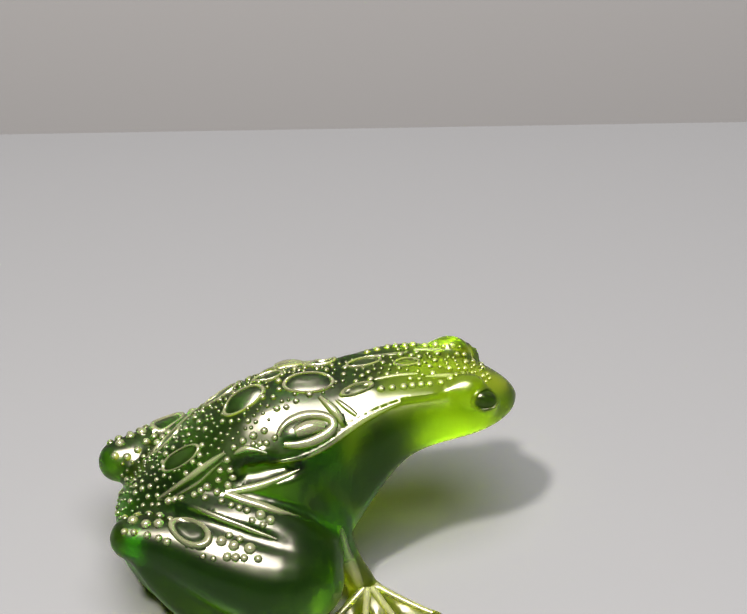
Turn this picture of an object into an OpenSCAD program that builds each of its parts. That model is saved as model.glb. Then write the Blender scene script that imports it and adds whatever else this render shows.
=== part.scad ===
// Sitting frog figurine, press-moulded in one piece of satin green glass.
// Frame: +X runs to the snout, +Y is the frog's left, +Z up; the soles and belly stand on z = 0.
// Each node is one named region of the single casting; neighbours meet face to face.

/* [Overall] */
// length from the heels to the snout, mm
length = 98; // [60:1:160]
// width across the spread hands, mm
width = 78; // [50:1:130]
// height over the raised ovals of the back, mm
height = 54; // [35:1:90]

/* [Body] */
// half width of the belly at its widest, mm
belly_half = 18.5; // [14:0.5:23]
// half width of the head at the jaw corners, mm
jaw_half = 14; // [10:0.5:17]
// where the head region starts, mm ahead of the middle
neck_x = 22; // [18:1:28]
// radius of the bulging eye, mm
eye_r = 4.6; // [3:0.2:6.5]

/* [Hind leg] */
// radius of the thigh at its thickest, mm
thigh_r = 11.5; // [9:0.5:14]
// radius of the shank at its thickest, mm
shank_r = 11; // [8.5:0.5:13]
// radius of the heel, mm
heel_r = 5.2; // [4:0.2:7]
// length of the longest hind toe, mm
toe_len = 22; // [16:1:30]

/* [Foreleg] */
// radius of the upper arm at the shoulder, mm
arm_r = 7; // [5:0.5:9]
// radius of the wrist, mm
wrist_r = 3.4; // [2.4:0.2:5]
// length of the longest finger, mm
finger_len = 19; // [13:1:24]
// radius of a finger or toe rib, mm
rib_r = 2.1; // [1.3:0.1:2.8]
// thickness of the web between fingers and toes, mm
web_t = 2.6; // [1.2:0.2:3.6]

/* [Moulded relief] */
// how far the raised ovals stand off the skin, mm
oval_rise = 0.9; // [0.4:0.1:1.6]
// length of the largest oval, mm
oval_len = 12; // [8:0.5:15]

/* [Output] */
// the one node to build, or all

/* [Hidden] */
kx = length / 98;
ky = width / 78;
kz = height / 54;
limb_sides = 20;
rib_sides = 12;
body_sides = 36;

// body stations: x, half width, bottom, top, height of the widest point, top and bottom roundness
BODY = [
    [-46.5, 4, 11, 20, 15, 2.0, 2.0],
    [-44.5, 9, 6, 24.5, 15, 2.0, 2.0],
    [-40, 13, -1, 30, 14, 2.0, 2.2],
    [-34, belly_half - 2, -3, 36, 14, 2.1, 2.6],
    [-26, belly_half - 0.5, -3, 43, 15, 2.2, 2.8],
    [-17, belly_half, -3, 49.5, 17, 2.2, 2.8],
    [-8, belly_half, -3, 52.6, 20, 2.2, 2.8],
    [0, belly_half - 0.5, 2, 53.1, 24, 2.1, 2.6],
    [7, belly_half - 2, 12, 53.1, 29, 2.1, 2.4],
    [14, jaw_half + 1, 24, 53.5, 35, 2.3, 2.2],
    [20, jaw_half, 32, 53.5, 39.5, 2.5, 2.1],
    [27, jaw_half - 0.5, 35, 53, 41.5, 2.5, 2.1],
    [34, jaw_half - 1, 36, 51.5, 42, 2.4, 2.1],
    [40, jaw_half - 3, 36.8, 48.5, 41.8, 2.2, 2.1],
    [44.5, jaw_half - 6, 37.8, 46, 41.3, 2.1, 2.1],
    [47.5, jaw_half - 9.3, 39.2, 43.8, 41, 2.0, 2.0],
    [49, 1.2, 40.6, 41.8, 41, 2.0, 2.0]
];

// limb stations: x, y, z, half size across, half size in height
THIGH = [
    [-35, 8, 20.5, 9, 9],
    [-29, 11, 22, thigh_r, thigh_r],
    [-20, 15.5, 22.7, thigh_r, thigh_r],
    [-12, 19.5, 20.7, thigh_r - 1.5, thigh_r - 1],
    [-6, 22, 17.8, thigh_r - 2.5, thigh_r - 2.5]
];
SHANK = [
    [-7, 25, 14.5, shank_r - 1.5, shank_r - 0.5],
    [-14, 25, 16.5, shank_r - 0.5, shank_r],
    [-24, 21.5, 19.5, shank_r - 1.5, shank_r - 1],
    [-34, 17, 23, heel_r + 2.4, heel_r + 2.8],
    [-44.2, 14.5, 25, heel_r - 0.4, heel_r]
];
TARSUS = [
    [-41, 15.5, 22, heel_r - 0.4, heel_r - 0.4],
    [-35.5, 18.5, 15, heel_r + 0.8, heel_r + 0.6],
    [-29, 21.5, 8.5, heel_r + 1, heel_r + 0.4],
    [-22, 24, 3.5, heel_r, heel_r - 1.6]
];
UPPER_ARM = [
    [-3, 10.5, 33, arm_r, arm_r],
    [0, 13.5, 27, arm_r - 1, arm_r - 1],
    [1.5, 16, 20, arm_r - 2.2, arm_r - 2.2]
];
FOREARM = [
    [1.5, 16, 19.5, wrist_r + 1, wrist_r + 1],
    [4.2, 16.8, 12, wrist_r + 0.3, wrist_r + 0.3],
    [8, 18, 5, wrist_r, wrist_r]
];

// fan of fingers or toes: angle from straight ahead, share of the longest
PALM = [9, 19.2];
FINGERS = [[36, 0.95], [68, 1], [104, 0.84], [142, 0.62]];
ANKLE = [-23.5, 23.5];
TOES = [[-4, 0.78], [17, 0.86], [37, 0.88], [58, 0.74], [86, 0.6]];

// raised ovals: body station, angle up from the flank, share of the longest, width over length
OVALS = [
    [3.12, 90, 0.65, 0.6], [5.27, 90, 0.8, 0.55], [6.88, 90, 1, 0.4],
    [5.14, 45, 0.65, 0.75], [6.51, 51, 0.75, 0.55], [8.39, 69, 0.7, 0.45],
    [5.14, 135, 0.65, 0.75], [6.51, 129, 0.75, 0.55], [8.39, 111, 0.7, 0.45]
];

// smooth curve through the stations, s counted in stations
function pick(t, i) = t[min(max(i, 0), len(t) - 1)];
function curve(t, s) =
    let (i = min(floor(s), len(t) - 2), f = s - i)
    let (a = pick(t, i - 1), b = pick(t, i), c = pick(t, i + 1), d = pick(t, i + 2))
    b + 0.5 * f * ((c - a) + f * ((2 * a - 5 * b + 4 * c - d) + f * (3 * (b - c) + d - a)));
function spow(v, p) = sign(v) * pow(abs(v), 2 / p);
function unit(v) = v / norm(v);

// closed skin over a list of rings that all have the same number of points
function skin_faces(rows, n) = concat(
    [for (r = [0 : rows - 2]) for (i = [0 : n - 1])
        [r * n + i, (r + 1) * n + (i + 1) % n, r * n + (i + 1) % n]],
    [for (r = [0 : rows - 2]) for (i = [0 : n - 1])
        [r * n + i, (r + 1) * n + i, (r + 1) * n + (i + 1) % n]],
    [[for (i = [0 : n - 1]) i]],
    [[for (i = [n - 1 : -1 : 0]) (rows - 1) * n + i]]
);

module skin(rings) {
    n = len(rings[0]);
    points = [for (ring = rings) for (p = ring) [p.x * kx, p.y * ky, p.z * kz]];
    polyhedron(points = points, faces = skin_faces(len(rings), n), convexity = 6);
}

function body_point(s, a) =
    let (b = curve(BODY, s), q = sin(a))
    let (p = q > 0 ? b[5] : b[6], h = q > 0 ? b[3] - b[4] : b[4] - b[2])
    [b[0], b[1] * spow(cos(a), p), b[4] + h * spow(q, p)];
function body_ring(s) = [for (i = [0 : body_sides - 1]) body_point(s, 360 * i / body_sides)];

// one ring of a limb, square to its run
function limb_ring(t, s, k, push, sides) =
    let (b = curve(t, s), e = curve(t, min(s + 0.05, len(t) - 1)), g = curve(t, max(s - 0.05, 0)))
    let (run = unit([e[0] - g[0], e[1] - g[1], e[2] - g[2]]))
    let (side = unit(cross([0, 0, 1], run)), up = cross(run, side))
    [for (i = [0 : sides - 1])
        let (a = 360 * i / sides)
        [b[0], b[1], b[2]] + run * push + side * b[3] * k * cos(a) + up * b[4] * k * sin(a)];

// rounded limb through its stations
module limb(t, steps = 3, sides = limb_sides) {
    last = len(t) - 1;
    r0 = min(t[0][3], t[0][4]);
    r1 = min(t[last][3], t[last][4]);
    head_end = [for (a = [78, 55, 28]) limb_ring(t, 0, cos(a), -r0 * sin(a), sides)];
    tail_end = [for (a = [28, 55, 78]) limb_ring(t, last, cos(a), r1 * sin(a), sides)];
    middle = [for (i = [0 : last * steps]) limb_ring(t, i / steps, 1, 0, sides)];
    skin(concat(head_end, middle, tail_end));
}

module above_floor() {
    intersection() {
        children();
        translate([-length, -width, 0])
            cube([2 * length, 2 * width, 2 * height]);
    }
}

module body_form() {
    last = len(BODY) - 1;
    skin([for (i = [0 : last * 2]) body_ring(i / 2)]);
}

module ahead_of_neck() {
    translate([neck_x * kx, -width, -height])
        cube([length, 2 * width, 3 * height]);
}

// eyelid swelling with the eyeball looking out and forward
module eye_form() {
    for (b = [[34.4, 7.9, 48.6, 1.22, 0.84, 1.05], [39.2, 9.2, 46.2, 0.74, 0.6, 0.68]])
        translate([b[0] * kx, b[1] * ky, b[2] * kz])
            scale([b[3] * kx, b[4] * ky, b[5] * kz])
                sphere(r = eye_r, $fn = 24);
}

// webbed fan lying on the floor, ribs sloping down from the ankle or wrist
module fan(root, ribs, reach, rise) {
    tips = [for (r = ribs) root + reach * r[1] * [cos(r[0]), sin(r[0])]];
    translate([root.x * kx, root.y * ky, rise * 0.6 * kz])
        scale([kx * 2.3, ky * 2.1, kz * rise * 0.38])
            sphere(r = 1.93, $fn = 22);
    for (i = [0 : len(ribs) - 1]) {
        along = [for (k = [0 : 3]) root + (tips[i] - root) * k / 3];
        limb([
            [along[0].x, along[0].y, rise, rib_r, rib_r],
            [along[1].x, along[1].y, rise * 0.55, rib_r, rib_r],
            [along[2].x, along[2].y, 1.1, rib_r, rib_r * 0.9],
            [along[3].x, along[3].y, 0.9, rib_r * 1.1, rib_r * 0.8]
        ], 1, rib_sides);
    }
    for (i = [0 : len(ribs) - 2])
        hull() {
            a = root + (tips[i] - root) * 0.9;
            b = root + (tips[i + 1] - root) * 0.9;
            for (q = [a, b])
                translate([q.x * kx, q.y * ky, -1])
                    cylinder(r = 0.7, h = 1 + web_t * 0.5 * kz, $fn = 8);
            translate([root.x * kx, root.y * ky, -1])
                cylinder(r = rib_r * 0.8, h = 1 + web_t * kz, $fn = 8);
        }
}

// every limb below is the left one; the right one is its mirror image
module thigh_form() { limb(THIGH); }
module shank_form() { limb(SHANK); }
module tarsus_form() { limb(TARSUS); }
module hind_foot_form() { fan(ANKLE, TOES, toe_len, 3.2); }
module upper_arm_form() { limb(UPPER_ARM); }
module forearm_form() { limb(FOREARM); }
module hand_form() { fan(PALM, FINGERS, finger_len, 4.2); }

module side(s) {
    if (s > 0)
        children();
    else
        mirror([0, 1, 0]) children();
}

// one raised oval laid on the skin, its length along the body
module oval(o) {
    p = body_point(o[0], o[1]);
    along = body_point(o[0] + 0.1, o[1]) - body_point(o[0] - 0.1, o[1]);
    across = body_point(o[0], o[1] + 2) - body_point(o[0], o[1] - 2);
    u = unit([along.x * kx, along.y * ky, along.z * kz]);
    n = unit(cross(u, [across.x * kx, across.y * ky, across.z * kz]));
    v = cross(n, u);
    multmatrix([
        [u.x, v.x, n.x, p.x * kx],
        [u.y, v.y, n.y, p.y * ky],
        [u.z, v.z, n.z, p.z * kz]
    ])
        scale([oval_len * o[2] / 2, oval_len * o[2] * o[3] / 2, oval_rise])
            sphere(r = 1, $fn = 18);
}

module torso() {
    color("#4f7a33")
    resize([0, 0, 0])
    above_floor()
    difference() {
        union() {
            body_form();
            for (o = OVALS) oval(o);
        }
        ahead_of_neck();
    }
}

module head() {
    color("#6fae2a")
    intersection() {
        body_form();
        ahead_of_neck();
    }
}

// both halves of an eye become one skin, cut where it meets the head
module eye(s) {
    color("#58822f")
    resize([0, 0, 0])
    side(s)
    difference() {
        eye_form();
        body_form();
    }
}

module thigh(s) {
    color("#3f662b")
    resize([0, 0, 0])
    side(s)
    above_floor()
    difference() {
        thigh_form();
        body_form();
    }
}

module shank(s) {
    color("#375a28")
    resize([0, 0, 0])
    side(s)
    above_floor()
    difference() {
        shank_form();
        body_form();
        thigh_form();
    }
}

module tarsus(s) {
    color("#2f4f24")
    resize([0, 0, 0])
    side(s)
    above_floor()
    difference() {
        tarsus_form();
        body_form();
        thigh_form();
        shank_form();
    }
}

module hind_foot(s) {
    color("#6b8f2e")
    resize([0, 0, 0])
    side(s)
    above_floor()
    difference() {
        hind_foot_form();
        body_form();
        thigh_form();
        shank_form();
        tarsus_form();
    }
}

module upper_arm(s) {
    color("#547d36")
    resize([0, 0, 0])
    side(s)
    difference() {
        upper_arm_form();
        body_form();
        thigh_form();
    }
}

module forearm(s) {
    color("#5f8a3a")
    resize([0, 0, 0])
    side(s)
    difference() {
        forearm_form();
        body_form();
        thigh_form();
        upper_arm_form();
    }
}

module hand(s) {
    color("#7fa233")
    resize([0, 0, 0])
    side(s)
    above_floor()
    difference() {
        hand_form();
        shank_form();
        body_form();
        forearm_form();
    }
}

torso();
head();
eye(1);  // left_eye
eye(-1);  // right_eye
thigh(1);  // left_thigh
thigh(-1);  // right_thigh
shank(1);  // left_shank
shank(-1);  // right_shank
tarsus(1);  // left_tarsus
tarsus(-1);  // right_tarsus
hind_foot(1);  // left_hind_foot
hind_foot(-1);  // right_hind_foot
upper_arm(1);  // left_upper_arm
upper_arm(-1);  // right_upper_arm
forearm(1);  // left_forearm
forearm(-1);  // right_forearm
hand(1);  // left_hand
hand(-1);  // right_hand
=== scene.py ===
# Sitting frog figurine: one pressing of satin green glass, standing on a grey table.
import math
import random
from itertools import product

import bmesh
import bpy
from mathutils import Matrix, Vector
from mathutils.bvhtree import BVHTree


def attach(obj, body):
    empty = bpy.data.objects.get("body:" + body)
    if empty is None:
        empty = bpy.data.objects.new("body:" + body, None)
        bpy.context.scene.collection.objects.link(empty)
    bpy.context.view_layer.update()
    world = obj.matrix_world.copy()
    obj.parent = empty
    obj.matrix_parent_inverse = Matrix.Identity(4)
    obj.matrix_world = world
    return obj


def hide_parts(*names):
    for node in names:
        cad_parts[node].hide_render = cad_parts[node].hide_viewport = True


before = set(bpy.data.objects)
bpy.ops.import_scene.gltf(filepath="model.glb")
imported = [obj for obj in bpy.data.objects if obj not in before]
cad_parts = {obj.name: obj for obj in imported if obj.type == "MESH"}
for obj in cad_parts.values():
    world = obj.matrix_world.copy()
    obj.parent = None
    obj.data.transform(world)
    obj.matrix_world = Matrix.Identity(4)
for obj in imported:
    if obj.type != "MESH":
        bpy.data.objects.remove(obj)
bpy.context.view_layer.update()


# Camera: a hand-held close-up from the frog's right side, looking down about 33 degrees.
# The frog sits low in the frame, so its near feet run out of the bottom edge.
camera_data = bpy.data.cameras.new("close_up_camera")
camera_data.lens = 86.75
camera_data.sensor_width = 36.0
camera = bpy.data.objects.new("close_up_camera", camera_data)
bpy.context.scene.collection.objects.link(camera)
camera_turn = math.radians(12.28)
camera_drop = math.radians(32.9)
level_view = math.radians(90)
camera.location = (-0.0572, -0.3309, 0.2888)
camera.rotation_euler = (level_view - camera_drop, 0.0, -camera_turn)
bpy.context.scene.camera = camera


# Lamps: a warm-white lamp above and to the left of the camera throws the shadow away to the
# right, and a wide soft panel overhead fills the rest of the room's light.
def hex_colour(code):
    """An sRGB hex colour as the linear RGBA that nodes take, fully opaque."""
    parts = [int(code[i:i + 2], 16) / 255 for i in (1, 3, 5)]
    linear = [c / 12.92 if c <= 0.04045 else ((c + 0.055) / 1.055) ** 2.4 for c in parts]
    return (*linear, 1.0)


def area_lamp(name, place, aim, across, watts, colour):
    """A round area lamp at place, turned towards aim, all in metres."""
    data = bpy.data.lights.new(name, "AREA")
    data.shape = "ELLIPSE"
    data.size = across
    data.size_y = across
    data.energy = watts
    data.color = hex_colour(colour)[:3]
    lamp = bpy.data.objects.new(name, data)
    bpy.context.scene.collection.objects.link(lamp)
    lamp.location = place
    lamp.rotation_euler = (Vector(aim) - Vector(place)).to_track_quat("-Z", "Y").to_euler()


area_lamp("spot_lamp", (-0.26, -0.34, 0.80), (0.01, 0.0, 0.02), 0.07, 19.0, "#fff1e0")
area_lamp("ceiling_panel", (0.06, -0.40, 1.18), (0.5, 0.6, 0.0), 0.85, 52.0, "#fff3e6")

room = bpy.data.worlds.new("room_light")
bpy.context.scene.world = room
room.use_nodes = True
background = room.node_tree.nodes["Background"]
background.inputs["Color"].default_value = hex_colour("#dfe9fa")
background.inputs["Strength"].default_value = 0.12
bpy.context.scene.view_settings.view_transform = "Standard"
bpy.context.scene.view_settings.look = "High Contrast"


# Table and wall: matt grey paint, plain, the wall a little out of square to the frog. The
# paint is darker than it looks, so that less of the table shows in the glass.
def add_node(tree, kind, settings=(), links=()):
    """One node with its settings, and links given as own input: source socket."""
    node = tree.nodes.new(kind)
    for key, value in dict(settings).items():
        if hasattr(node, key):
            setattr(node, key, value)
        else:
            node.inputs[key].default_value = value
    for key, source in dict(links).items():
        tree.links.new(source, node.inputs[key])
    return node


def new_material(name):
    """A material and its emptied node tree."""
    material = bpy.data.materials.new(name)
    material.use_nodes = True
    material.node_tree.nodes.clear()
    return material, material.node_tree


def matt_paint(name, code):
    """Matt paint on the front of a sheet, which is clear when seen from behind.

    The clear back lets the figurine be looked at from every side.
    """
    material, tree = new_material(name)
    paint = add_node(tree, "ShaderNodeBsdfPrincipled", {
        "Base Color": hex_colour(code), "Roughness": 0.8, "Specular IOR Level": 0.3,
    })
    clear = add_node(tree, "ShaderNodeBsdfTransparent")
    side = add_node(tree, "ShaderNodeNewGeometry")
    sheet = add_node(tree, "ShaderNodeMixShader", links={
        0: side.outputs["Backfacing"], 1: paint.outputs["BSDF"], 2: clear.outputs["BSDF"],
    })
    add_node(tree, "ShaderNodeOutputMaterial", links={"Surface": sheet.outputs["Shader"]})
    return material


def flat_sheet(name, corners, material):
    """A one-faced stage sheet through its corners, in metres."""
    mesh = bmesh.new()
    mesh.faces.new([mesh.verts.new(c) for c in corners])
    data = bpy.data.meshes.new(name)
    mesh.to_mesh(data)
    mesh.free()
    sheet = bpy.data.objects.new(name, data)
    bpy.context.scene.collection.objects.link(sheet)
    data.materials.append(material)


wall_turn = math.radians(10.2)
wall_distance = 0.225
sheet_reach = 1.5
to_wall = Vector((math.sin(wall_turn), math.cos(wall_turn), 0))
wall_foot = to_wall * wall_distance
wall_run = Vector((math.cos(wall_turn), -math.sin(wall_turn), 0)) * sheet_reach
wall_rise = Vector((0, 0, 1))
table_run = to_wall * sheet_reach
# a hair above zero, so that the table and the flat base never share one plane
table_level = Vector((0, 0, 0.00006))
table_corners = [-table_run - wall_run, wall_run - table_run,
                 table_run + wall_run, table_run - wall_run]
flat_sheet("table_top", [corner + table_level for corner in table_corners],
           matt_paint("grey_table_paint", "#51555b"))
flat_sheet("wall", [wall_foot - wall_run, wall_foot + wall_run,
                    wall_foot + wall_run + wall_rise, wall_foot - wall_run + wall_rise],
           matt_paint("grey_wall_paint", "#5e6166"))


# Casting: copies of the CAD regions fused into one skin, then smoothed where limbs meet.
mm = 0.001
REGION_SWELL = 0.08  # mm each region grows, so that neighbours overlap


def take_in(whole, part):
    """Adds one bmesh to another and frees it."""
    copy = bpy.data.meshes.new("part")
    part.to_mesh(copy)
    part.free()
    whole.from_mesh(copy)
    bpy.data.meshes.remove(copy)


casting_mesh = bmesh.new()
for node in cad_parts.values():
    part = bmesh.new()
    part.from_mesh(node.data)
    bmesh.ops.remove_doubles(part, verts=part.verts, dist=1e-6)
    for vert in part.verts:
        vert.co += vert.normal * REGION_SWELL * mm
    take_in(casting_mesh, part)
casting_data = bpy.data.meshes.new("frog_casting")
casting_mesh.to_mesh(casting_data)
casting_mesh.free()
casting = bpy.data.objects.new("frog_casting", casting_data)
bpy.context.scene.collection.objects.link(casting)


def apply_modifiers(piece):
    """Bakes a piece's modifiers into its mesh."""
    bpy.context.view_layer.update()
    graph = bpy.context.evaluated_depsgraph_get()
    baked = bpy.data.meshes.new_from_object(piece.evaluated_get(graph))
    piece.modifiers.clear()
    old = piece.data
    piece.data = baked
    bpy.data.meshes.remove(old)


remesh = casting.modifiers.new("fuse", "REMESH")
remesh.mode = "VOXEL"
remesh.voxel_size = 0.8 * mm
remesh.use_smooth_shade = True
smooth = casting.modifiers.new("fillet", "SMOOTH")
smooth.factor = 0.5
smooth.iterations = 10
apply_modifiers(casting)


# Hollows and swellings of the smooth form: a raised band along each side of the back, a
# pocket behind it over the thigh, and a groove between thigh and shank.
def near_line(point, line):
    """Distance from a point to a line of points, and the share of the way along it."""
    best = (math.inf, 0)
    for i, (start, end) in enumerate(zip(line, line[1:])):
        run = end - start
        share = min(1, max(0, (point - start).dot(run) / run.length_squared))
        gap = (point - start - run * share).length
        if gap < best[0]:
            best = (gap, (i + share) / (len(line) - 1))
    return best


# right-hand line in mm, push out (+) or in (-) in mm, half width in mm: two lines for the
# pocket, then the groove between thigh and shank
sculpted = [
    ([(-19.5, -13.4, 40.9), (-15, -13.8, 41.0), (-11.5, -13.8, 40.8)], -1.6, 3.0),
    ([(-20, -14.6, 38.4), (-13, -15.2, 38.7), (-6, -15.4, 39.9)], -2.8, 3.2),
    ([(-38, -12.4, 30.4), (-33, -16.4, 31.2), (-26, -20.6, 31.0), (-19, -24.2, 29.6),
      (-12, -26.8, 27.4)], -1.2, 3.0),
]
# along the band: distance ahead, lower edge (side, height), upper edge (side, height), mm
BAND = [(-14, 15.4, 41.0, 11.2, 45.6), (-5, 15.0, 42.0, 7.2, 51.4), (1, 13.8, 44.2, 6.4, 52.0),
        (7, 11.9, 46.9, 6.0, 52.0), (13, 10.6, 49.2, 5.0, 52.8), (19, 10.0, 50.4, 4.4, 53.2),
        (25, 9.8, 50.6, 4.6, 53.0), (32, 9.6, 50.6, 5.0, 52.0)]
BAND_LIFT = 1.1  # mm it stands out at its lower edge, falling to nothing at its upper edge
BAND_FOOT = 0.8  # mm below the lower edge over which it falls back to the skin
BAND_TAIL, BAND_NOSE = 4, 5  # mm over which it fades in at the back and out at the front


def band_lift(x, side, z):
    """How far the side band stands out at a point of the skin, all in mm."""
    for low, high in zip(BAND, BAND[1:]):
        if low[0] <= x <= high[0]:
            share = (x - low[0]) / (high[0] - low[0])
            y0, z0, y1, z1 = (a + (b - a) * share for a, b in zip(low[1:], high[1:]))
            width = math.hypot(y1 - y0, z1 - z0)
            up = ((side - y0) * (y1 - y0) + (z - z0) * (z1 - z0)) / width
            fade = min(1, (x - BAND[0][0]) / BAND_TAIL, (BAND[-1][0] - x) / BAND_NOSE)
            if up > width or up < -BAND_FOOT:
                return 0
            lift = 1 - up / width if up > 0 else 1 + up / BAND_FOOT
            return BAND_LIFT * fade * lift
    return 0


form = bmesh.new()
form.from_mesh(casting.data)
form.normal_update()
lines = [([Vector(point) for point in line], push, half) for line, push, half in sculpted]
for vert in form.verts:
    x, y, z = vert.co / mm
    here = Vector((x, -abs(y), z))
    near_band = z > 38 and abs(y) > 3 and vert.normal.z > -0.2
    near_thigh = z > 22 and -40 < x < 0 and abs(y) > 11
    move = band_lift(x, abs(y), z) if near_band else 0
    if near_thigh:
        for line, push, half in lines:
            gap, share = near_line(here, line)
            if gap < half:
                depth = (1 - (gap / half) ** 2) ** 2
                fade = min(1, 5 * share + 0.2, 5 - 5 * share + 0.2)
                move += push * depth * fade
    vert.co += vert.normal * move * mm
    vert.co.z = max(vert.co.z, 0)
form.to_mesh(casting.data)
form.free()


# Relief: ovals, folds and beads cut into the mould, so they stand up out of the same glass.
# Every shape is laid on the smooth skin, bent to follow it and fused with it.
skin_mesh = bmesh.new()
skin_mesh.from_mesh(casting.data)
skin = BVHTree.FromBMesh(skin_mesh)
skin_points = [(vert.co.copy(), vert.normal.copy()) for vert in skin_mesh.verts]
skin_mesh.free()


def on_skin(point):
    """The nearest skin point and the mean outward normal round it, for a place in mm."""
    mean_reach = 1.6 * mm
    place = skin.find_nearest(Vector(point) * mm)[0]
    near = skin.find_nearest_range(place, mean_reach)
    return place, sum((hit[1] for hit in near), Vector()).normalized()


def wrap(mesh, middle, ahead):
    """Lays a flat shape (metres, z up) on the skin at middle, its x axis towards ahead."""
    reach = 6 * mm
    place, up = on_skin(middle)
    along = Vector(ahead) * mm - place
    along = (along - up * along.dot(up)).normalized()
    across = up.cross(along)
    for vert in mesh.verts:
        flat = place + along * vert.co.x + across * vert.co.y
        foot, normal = skin.ray_cast(flat + up * reach, -up, 3 * reach)[:2]
        if foot is None:
            foot, normal = skin.find_nearest(flat)[:2]
        vert.co = foot + (up * 0.5 + normal * 0.5).normalized() * vert.co.z


def fuse(shapes):
    """Joins closed shapes to the casting, each taken over into its one skin."""
    data = bpy.data.meshes.new("relief")
    shapes.normal_update()
    shapes.to_mesh(data)
    shapes.free()
    relief = bpy.data.objects.new("relief", data)
    bpy.context.scene.collection.objects.link(relief)
    join = casting.modifiers.new("fuse", "BOOLEAN")
    join.operation = "UNION"
    join.solver = "MANIFOLD"
    join.object = relief
    apply_modifiers(casting)
    bpy.data.objects.remove(relief)
    bpy.data.meshes.remove(data)


def spun_dish(length, width, section):
    """A round turned from its section of (radius share, height mm), stretched to an oval."""
    dish = bmesh.new()
    line = [dish.verts.new((r, 0, z * mm)) for r, z in section]
    edges = [dish.edges.new(pair) for pair in zip(line, line[1:])]
    bmesh.ops.spin(dish, geom=line + edges, cent=(0, 0, 0), axis=(0, 0, 1),
                   angle=math.tau, steps=28, use_merge=True, use_duplicate=False)
    bmesh.ops.remove_doubles(dish, verts=dish.verts, dist=1e-7)
    bmesh.ops.recalc_face_normals(dish, faces=dish.faces)
    bmesh.ops.scale(dish, vec=(length / 2 * mm, width / 2 * mm, 1), verts=dish.verts)
    return dish


def mirrored(point):
    """The same place on the left side."""
    return (point[0], -point[1], point[2])


def both_sides(points):
    """A line of points on the right side, and the same line on the left."""
    return points, [mirrored(point) for point in points]


# sections from the middle outwards: (share of the half width, height above the skin in mm)
RAISED_OVAL = [(0, 0.32), (0.45, 0.32), (0.72, 0.26), (0.84, 0.16), (0.89, 0.55), (0.94, 0.68),
               (1.0, 0.55), (1.05, 0.0), (1.07, -1.0), (0, -1.0)]
DISHED_OVAL = [(0, 0.25), (0.4, 0.2), (0.65, 0.25), (0.78, 0.7), (0.87, 1.0), (0.95, 0.9),
               (1.04, 0.0), (1.06, -1.0), (0, -1.0)]
EYE_OVAL = [(0, 0.9), (0.25, 0.84), (0.5, 0.6), (0.66, 0.2), (0.74, -0.1), (0.82, 0.1),
            (0.9, 0.34), (0.97, 0.3), (1.04, 0.0), (1.06, -1.4), (0, -1.4)]
RIGHT_EYE = (38.6, -11.0, 48.3)

# middle, a point its long axis runs towards, length, width, all in mm, and section
back_ovals = [
    ((-0.8, -2.5, 53), (4.6, -2.9, 53), 11.8, 5.6, RAISED_OVAL),
    ((-16.0, -2.2, 50.5), (-11.5, -1.4, 52), 11.0, 5.4, RAISED_OVAL),
    ((-9.3, 3.0, 52), (-4, 3.4, 52.5), 7.5, 4.2, RAISED_OVAL),
    ((13, 2.2, 53.2), (18, 2.6, 53.4), 8.5, 3.8, RAISED_OVAL),
    ((22.6, 0.0, 53.4), (27, 0.3, 53.1), 6.2, 3.0, RAISED_OVAL),
    ((-30.9, -4.6, 38), (-26.8, -5.8, 41.2), 11.4, 4.6, RAISED_OVAL),
    ((3.5, 7.0, 52), (8, 6.8, 52.4), 8.0, 4.4, RAISED_OVAL),
    ((-20, 6.5, 46.5), (-15, 6.0, 49.5), 9.5, 5.0, RAISED_OVAL),
    ((-33, 5.5, 36), (-29, 6, 39), 9.0, 4.4, RAISED_OVAL),
    ((9.6, -6.6, 52.3), (13.6, -6.2, 52.6), 8.2, 2.6, DISHED_OVAL),
]
side_ovals = [
    (RIGHT_EYE, (42, -9.0, 47.0), 7.4, 5.4, EYE_OVAL),
    ((-31.4, -20.8, 30.0), (-27.2, -24.6, 28.6), 11.0, 6.4, DISHED_OVAL),
]

left_ovals = [(mirrored(middle), mirrored(ahead), *rest) for middle, ahead, *rest in side_ovals]

ovals = bmesh.new()
for middle, ahead, length, width, section in back_ovals + side_ovals + left_ovals:
    dish = spun_dish(length, width, section)
    wrap(dish, middle, ahead)
    take_in(ovals, dish)
fuse(ovals)


def fold(points, radii, sunk=0.15):
    """A rounded fold laid along the skin through points (mm), with a radius (mm) at each.

    Its centre line lies under the skin by the share of the radius given as sunk.
    """
    line = bpy.data.curves.new("fold", "CURVE")
    line.dimensions = "3D"
    line.bevel_depth = mm
    line.bevel_resolution = 2
    line.resolution_u = 5
    line.use_fill_caps = True
    spline = line.splines.new("NURBS")
    spline.points.add(len(points) - 1)
    spline.use_endpoint_u = True
    spline.order_u = 3
    for knot, point, radius in zip(spline.points, points, radii):
        place, up = on_skin(point)
        knot.co = (*(place - up * sunk * radius * mm), 1)
        knot.radius = radius
    holder = bpy.data.objects.new("fold", line)
    bpy.context.scene.collection.objects.link(holder)
    bpy.context.view_layer.update()
    tube = bmesh.new()
    tube.from_mesh(holder.evaluated_get(bpy.context.evaluated_depsgraph_get()).to_mesh())
    bpy.data.objects.remove(holder)
    bpy.data.curves.remove(line)
    bmesh.ops.remove_doubles(tube, verts=tube.verts, dist=1e-6)
    bmesh.ops.recalc_face_normals(tube, faces=tube.faces)
    return tube


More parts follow.
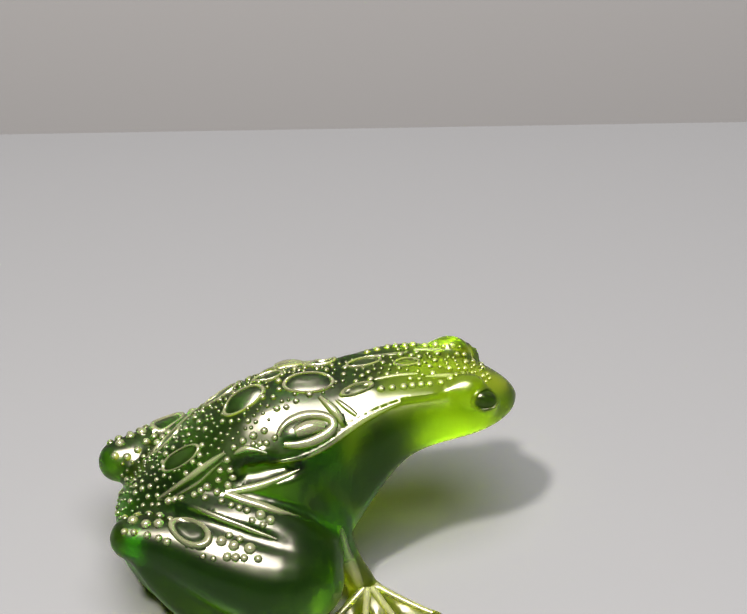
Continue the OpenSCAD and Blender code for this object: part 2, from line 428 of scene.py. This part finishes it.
# points along each fold on the right side and the radius at each, in mm
folds = [
    ([(-37, -8.4, 30.0), (-30, -9.8, 36), (-25.7, -10.0, 39.4), (-21.5, -10.3, 42.3)],
     [0.6, 0.9, 1.0, 0.6]),
    ([(-33.5, -10.8, 31.6), (-28.5, -11.8, 35.4), (-24.7, -11.4, 38.8), (-22.2, -11.3, 40.8)],
     [0.4, 0.6, 0.6, 0.4]),
    ([(-22.3, -15.1, 35.0), (-16.9, -15.8, 35.6), (-10.6, -15.6, 37.2), (-5.5, -15.4, 38.8)],
     [0.9, 1.0, 0.9, 0.3]),
    ([(-22.5, -15.4, 34.8), (-19.4, -17.2, 34.0), (-14.8, -19.2, 33.0), (-9, -21.0, 30.6),
      (-3.6, -20.2, 27.3)], [1.0, 1.3, 1.3, 0.9, 0.3]),
    ([(-37, -8.8, 30.4), (-31.3, -14.2, 32.7), (-25.6, -19.2, 32.2), (-19.4, -22.9, 30.7),
      (-12.6, -25.8, 28.3)], [0.5, 0.8, 0.9, 0.9, 0.4]),
    ([(14, -4.6, 53), (19, -4.0, 53.3), (24, -4.4, 52.8)], [0.5, 0.9, 0.5]),
    ([(25.5, -5.6, 52.6), (29, -5.4, 52.2), (32.5, -5.4, 51.6)], [0.5, 0.9, 0.5]),
    ([(1.0, -6.3, 51.5), (2.9, -8.5, 50), (4.4, -10.1, 48.4), (5.6, -11.8, 46.4)],
     [0.6, 1.2, 1.2, 0.6]),
    ([(-9.4, -11.8, 46.2), (-8.4, -10.4, 48.0), (-3.2, -9.6, 49.7), (2.0, -10.2, 49.0),
      (3.6, -12.0, 47.2), (0.0, -13.4, 45.4), (-5.4, -13.8, 44.6), (-8.4, -13.2, 44.8)],
     [0.7, 1.1, 1.3, 1.0, 1.3, 1.5, 1.3, 0.8]),
    ([(-5.8, -12.4, 46.8), (-2.6, -11.8, 47.8), (0.8, -12.0, 47.6)], [1.2, 2.4, 1.2]),
    ([(-19.6, -11.4, 42.4), (-18.2, -11.4, 43.4), (-15.4, -12.0, 43.7), (-12.4, -12.8, 43.0)],
     [0.5, 0.9, 0.9, 0.5]),
    ([(4.6, -7.4, 50.8), (6.9, -9.4, 49.2), (8.6, -10.6, 48.0)], [0.4, 1.0, 0.5]),
    ([(18.7, -10.0, 50.6), (12.9, -10.4, 49.2), (7, -11.8, 46.8), (0.8, -13.8, 43.6),
      (-5.2, -15.0, 42.0), (-9.6, -15.0, 41.2)], [0.5, 0.9, 1.1, 1.1, 1.0, 0.5]),
]
# the ribs of each foot: where they spring from and the height there in mm, then the angle in
# degrees and the reach in mm of each one
RIB_TIP_HEIGHT = 1.9
feet = [
    ((9, -19.2), 5.4, [(36, 18.0), (68, 19.0), (104, 16.0), (142, 11.8)]),
    ((-23.5, -23.5), 4.0, [(-4, 17.0), (17, 18.8), (37, 19.2), (58, 16.2), (86, 13.0)]),
]
for (root_x, root_y), height, ribs in feet:
    for angle, reach in ribs:
        ahead, aside = math.cos(math.radians(angle)), -math.sin(math.radians(angle))
        levels = ((0.1, height), (0.5, height * 0.6), (0.93, RIB_TIP_HEIGHT))
        folds.append(([(root_x + ahead * reach * share, root_y + aside * reach * share, level)
                       for share, level in levels], [1.0, 0.9, 0.7]))
for points, radii in folds:
    for line in both_sides(points):
        fuse(fold(line, radii))

# the flat front of each foreleg, from the shoulder down to the wrist
shin = [(2.6, -19.0, 24.5), (3.0, -19.6, 21), (4.0, -20.2, 16.5), (5.3, -20.4, 11.5),
        (7.4, -20.6, 6.8)]
shin_radii = [1.1, 2.3, 2.5, 2.2, 1.5]
for line in both_sides(shin):
    fuse(fold(line, shin_radii, sunk=0.7))


# Beads: small domes pricked into the mould, closest on the back, larger on the legs.
textured = bmesh.new()
textured.from_mesh(casting.data)
raised_skin = BVHTree.FromBMesh(textured)
textured.free()

# distance along the body and half width of the beaded back there, mm
BACK_EDGE = [(-48, 6), (-44, 10.5), (-38, 11.5), (-33, 9.2), (-22, 10), (-13.6, 9.8),
             (-3.6, 6.4), (5.7, 5.2), (15.3, 4.2), (22, 4.4), (30, 6.0), (37, 6.0), (42, 4.5)]


def back_half(x):
    """Half width of the beaded back at a distance along the body, mm."""
    for (x0, w0), (x1, w1) in zip(BACK_EDGE, BACK_EDGE[1:]):
        if x0 <= x <= x1:
            return w0 + (w1 - w0) * (x - x0) / (x1 - x0)
    return 0


def covered(place, up):
    """Whether an oval or fold stands above the smooth form on this spot."""
    lift = 3 * mm
    allowed = 0.12 * mm
    hit, _, _, depth = raised_skin.ray_cast(place + up * lift, -up, 2 * lift)
    return hit is None or depth < lift - allowed


random.seed(7)
CELL = 3  # mm, wider than any gap between beads, so only next cells need a look
spots = []
taken = {}


def try_bead(place, up, size, gap):
    """Takes a bead spot if no other one is nearer than gap (mm)."""
    cell = tuple(int(c // (CELL * mm)) for c in place)
    for step in product((-1, 0, 1), repeat=3):
        next_cell = tuple(c + d for c, d in zip(cell, step))
        for other, other_gap in taken.get(next_cell, ()):
            if (other - place).length < max(gap, other_gap) * mm:
                return
    taken.setdefault(cell, []).append((place, gap))
    spots.append((place, up, size))


def bead_row(points, size, gap):
    """Beads set side by side along a line on the skin, all in mm, a little uneven in size."""
    crowding = 0.75
    for start, end in zip(points, points[1:]):
        start, end = Vector(start), Vector(end)
        count = max(1, round((end - start).length / gap))
        for i in range(count + 1):
            place, up = on_skin(start.lerp(end, i / count))
            if not covered(place, up):
                try_bead(place, up, size * random.uniform(0.88, 1.08), gap * crowding)


# points along each row on the right side, bead size, distance between beads, all in mm
bead_rows = [
    ([(15, -7.4, 52), (20, -7.9, 51.8), (26, -7.9, 51.7), (31.5, -7.2, 51.6)], 2.1, 2.3),
    ([(22, -6.0, 52.6), (28, -6.8, 52.2), (33, -6.4, 51.8)], 1.5, 2.0),
    ([(-43.4, -14.6, 29.4), (-40.7, -16.6, 30.1), (-37.9, -17.3, 30.3)], 2.7, 2.6),
    ([(-19.4, -10.4, 43.6), (-17.3, -10.2, 44.9), (-14.9, -10.2, 46.0), (-12.4, -10.2, 47.0)],
     2.0, 2.05),
    ([(-18.0, -11.4, 43.9), (-15.2, -11.5, 44.7), (-12.2, -12.0, 44.8), (-10.2, -11.8, 45.8)],
     1.8, 1.85),
    ([(-21.2, -11.6, 41.2), (-20.8, -12.9, 39.3), (-20.4, -13.8, 37.8), (-21.6, -14.4, 36.2)],
     2.1, 2.1),
    ([(-22.9, -12.2, 39.0), (-23.6, -13.2, 37.1), (-26.2, -13.0, 35.6), (-29.2, -13.2, 33.9),
      (-32.0, -12.6, 32.8), (-35.0, -11.2, 31.6)], 2.2, 2.2),
    ([(-24.2, -14.5, 34.9), (-27.0, -14.9, 34.0)], 2.1, 2.2),
    ([(-23.6, -16.8, 33.9), (-21.6, -18.4, 33.6), (-18.4, -20.2, 33.0)], 1.9, 2.1),
    ([(-18.0, -20.3, 33.0), (-15.6, -21.4, 32.2), (-13.6, -22.6, 31.4)], 2.6, 2.5),
    ([(-17.6, -22.4, 31.9), (-15.4, -23.4, 31.0)], 2.0, 2.1),
    ([(-44.9, -12.3, 28.1), (-42.3, -11.0, 28.6), (-39.6, -12.1, 29.4), (-37.3, -14.0, 30.1),
      (-35.2, -15.6, 30.4)], 2.2, 2.15),
    ([(-45.4, -16.4, 28.4), (-43.5, -17.5, 29.0), (-40.8, -19.2, 29.2), (-38.4, -20.4, 28.8)],
     2.1, 2.2),
    ([(-38.6, -20.4, 28.7), (-36.6, -21.4, 28.3)], 2.0, 2.0),
    ([(-24.9, -24.4, 28.9), (-22.4, -25.9, 28.4), (-19.0, -27.0, 27.8)], 2.9, 2.7),
    ([(-23.0, -23.6, 29.5), (-20.8, -24.8, 29.2)], 1.9, 2.1),
    ([(-24.2, -27.6, 26.9), (-20.6, -28.7, 26.8), (-17.6, -29.2, 26.3)], 2.2, 2.3),
    ([(-29.4, -26.4, 27.0), (-27.2, -27.2, 26.6)], 1.5, 2.2),
]
for points, size, gap in bead_rows:
    for line in both_sides(points):
        bead_row(line, size, gap)

# the back is then filled with scattered beads between the rows
SCATTERED_SIZES = (1.05, 1.2, 1.6, 1.85)
random.shuffle(skin_points)
for place, up in skin_points:
    x, y, z = place / mm
    on_back = up.z > 0.12 and z > 21 and abs(y) < back_half(x)
    if on_back and not covered(place, up):
        size = random.choice(SCATTERED_SIZES)
        try_bead(place, up, size, 0.45 + 0.8 * size)

BEAD_SINK = 0.08  # share of a bead's size by which its middle lies under the skin
beads = bmesh.new()
for place, up, size in spots:
    dome = bmesh.new()
    bmesh.ops.create_uvsphere(dome, u_segments=8, v_segments=6, radius=size / 2 * mm)
    turn = up.to_track_quat("Z", "Y").to_matrix().to_4x4()
    bmesh.ops.transform(dome, verts=dome.verts,
                        matrix=Matrix.Translation(place - up * size * BEAD_SINK * mm) @ turn)
    take_in(beads, dome)
fuse(beads)
casting.data.shade_smooth()
casting.data.set_sharp_from_angle(angle=math.radians(55))


# Satin green glass: pressed soda glass coloured through its mass, its skin dulled in acid and
# its raised relief rubbed smoother.
# A pale share on the relief is a painted highlight on beads and rims; the eye domes and the
# pocket are tinted dark as painted shade.
def ramp(value, start, end):
    """How far value has gone from start to end, held between 0 and 1."""
    return min(1, max(0, (value - start) / (end - start)))


# crest marks the relief, apart from the eye domes, for its smoother polish and its painted
# highlight; the painted shade marks the eye domes on both sides and the pocket on the right
# side, tinting the glass dark there
eye_middle = Vector(RIGHT_EYE)
pocket_lines = [line for line, _, _ in lines[:2]]
crest = casting.data.attributes.new("crest", "FLOAT", "POINT")
painted_shade = casting.data.attributes.new("painted_shade", "FLOAT", "POINT")
for vert, high, painted_dark in zip(casting.data.vertices, crest.data, painted_shade.data):
    x, y, z = vert.co / mm
    here = Vector((x, -abs(y), z))
    eye_gap = (here - eye_middle).length
    height = skin.find_nearest(vert.co)[3] / mm
    high.value = ramp(height, 0.3, 0.55) * ramp(eye_gap, 4, 5.5)
    # painted shade: the glass is tinted dark over the eye domes, where the eyes look dark
    painted_dark.value = ramp(eye_gap, 3.2, 2.4)
    # painted shade: the pocket behind the band on the right side is tinted dark too, away from
    # the relief
    if -24 < x < -2 and y < 0 and z > 33:
        pocket_gap = min(near_line(here, line)[0] for line in pocket_lines)
        painted_dark.value = ramp(pocket_gap, 2.6, 1.4) * (1 - high.value)

glass, tree = new_material("satin_green_glass")
raised = add_node(tree, "ShaderNodeAttribute", {"attribute_name": "crest"})
polish = add_node(tree, "ShaderNodeMapRange", {"To Min": 0.29, "To Max": 0.2},
                  {"Value": raised.outputs["Fac"]})
# painted highlight: on the relief a pale share of the surface does not let light through, so
# beads and rims show pale points under any lamp; the lower roughness above is the real polish
painted_highlight_share = add_node(tree, "ShaderNodeMapRange", {"To Min": 1.0, "To Max": 0.93},
                 {"Value": raised.outputs["Fac"]})
# painted shade: dark green #3a4f1c tints the glass in the eyes and the pocket
sunk = add_node(tree, "ShaderNodeAttribute", {"attribute_name": "painted_shade"})
shade = add_node(tree, "ShaderNodeMixRGB", {
    "Color1": hex_colour("#f2f6dc"), "Color2": hex_colour("#3a4f1c"),
}, {"Fac": sunk.outputs["Fac"]})
surface = add_node(tree, "ShaderNodeBsdfPrincipled", {
    "IOR": 1.52, "Specular IOR Level": 0.14,
}, {"Base Color": shade.outputs["Color"], "Roughness": polish.outputs["Result"],
    "Transmission Weight": painted_highlight_share.outputs["Result"]})
body = add_node(tree, "ShaderNodeVolumeAbsorption", {
    "Color": hex_colour("#f5f92f"), "Density": 430.0,
})
add_node(tree, "ShaderNodeOutputMaterial", links={
    "Surface": surface.outputs["BSDF"], "Volume": body.outputs["Volume"],
})
casting.data.materials.clear()
casting.data.materials.append(glass)
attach(casting, "root")
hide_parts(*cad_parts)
